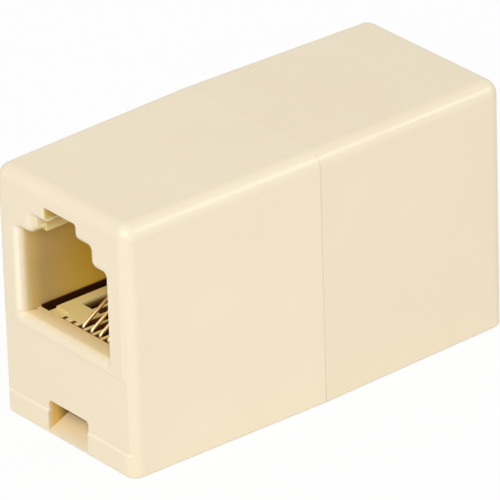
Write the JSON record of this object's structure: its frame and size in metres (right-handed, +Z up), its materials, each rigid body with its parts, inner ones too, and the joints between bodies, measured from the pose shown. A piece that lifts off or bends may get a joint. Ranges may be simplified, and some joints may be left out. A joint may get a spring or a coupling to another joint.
{
  "type": "six-position modular jack inline coupler",
  "caption": "Ivory inline coupler: a split rectangular housing with a modular telephone jack in each end, gold spring contacts joining the two.",
  "frame": {"origin": "middle of the underside", "axes": "+X runs from the front jack to the rear jack, +Y across, +Z up; the front jack opens towards -X"},
  "size_m": [0.036, 0.016, 0.0207],
  "materials": {
    "housing": "fine satin moulded ABS, ivory",
    "carrier": "satin moulded plastic, yellowish ivory",
    "contacts": "bright gold-plated spring wire"
  },
  "bodies": {
    "root": {"front_shell": "housing", "rear_shell": "housing", "contact_carrier": "carrier", "wire_cover": "carrier", "contact_wire_1": "contacts", "contact_wire_2": "contacts", "contact_wire_3": "contacts", "contact_wire_4": "contacts"}
  },
  "joints": []
}
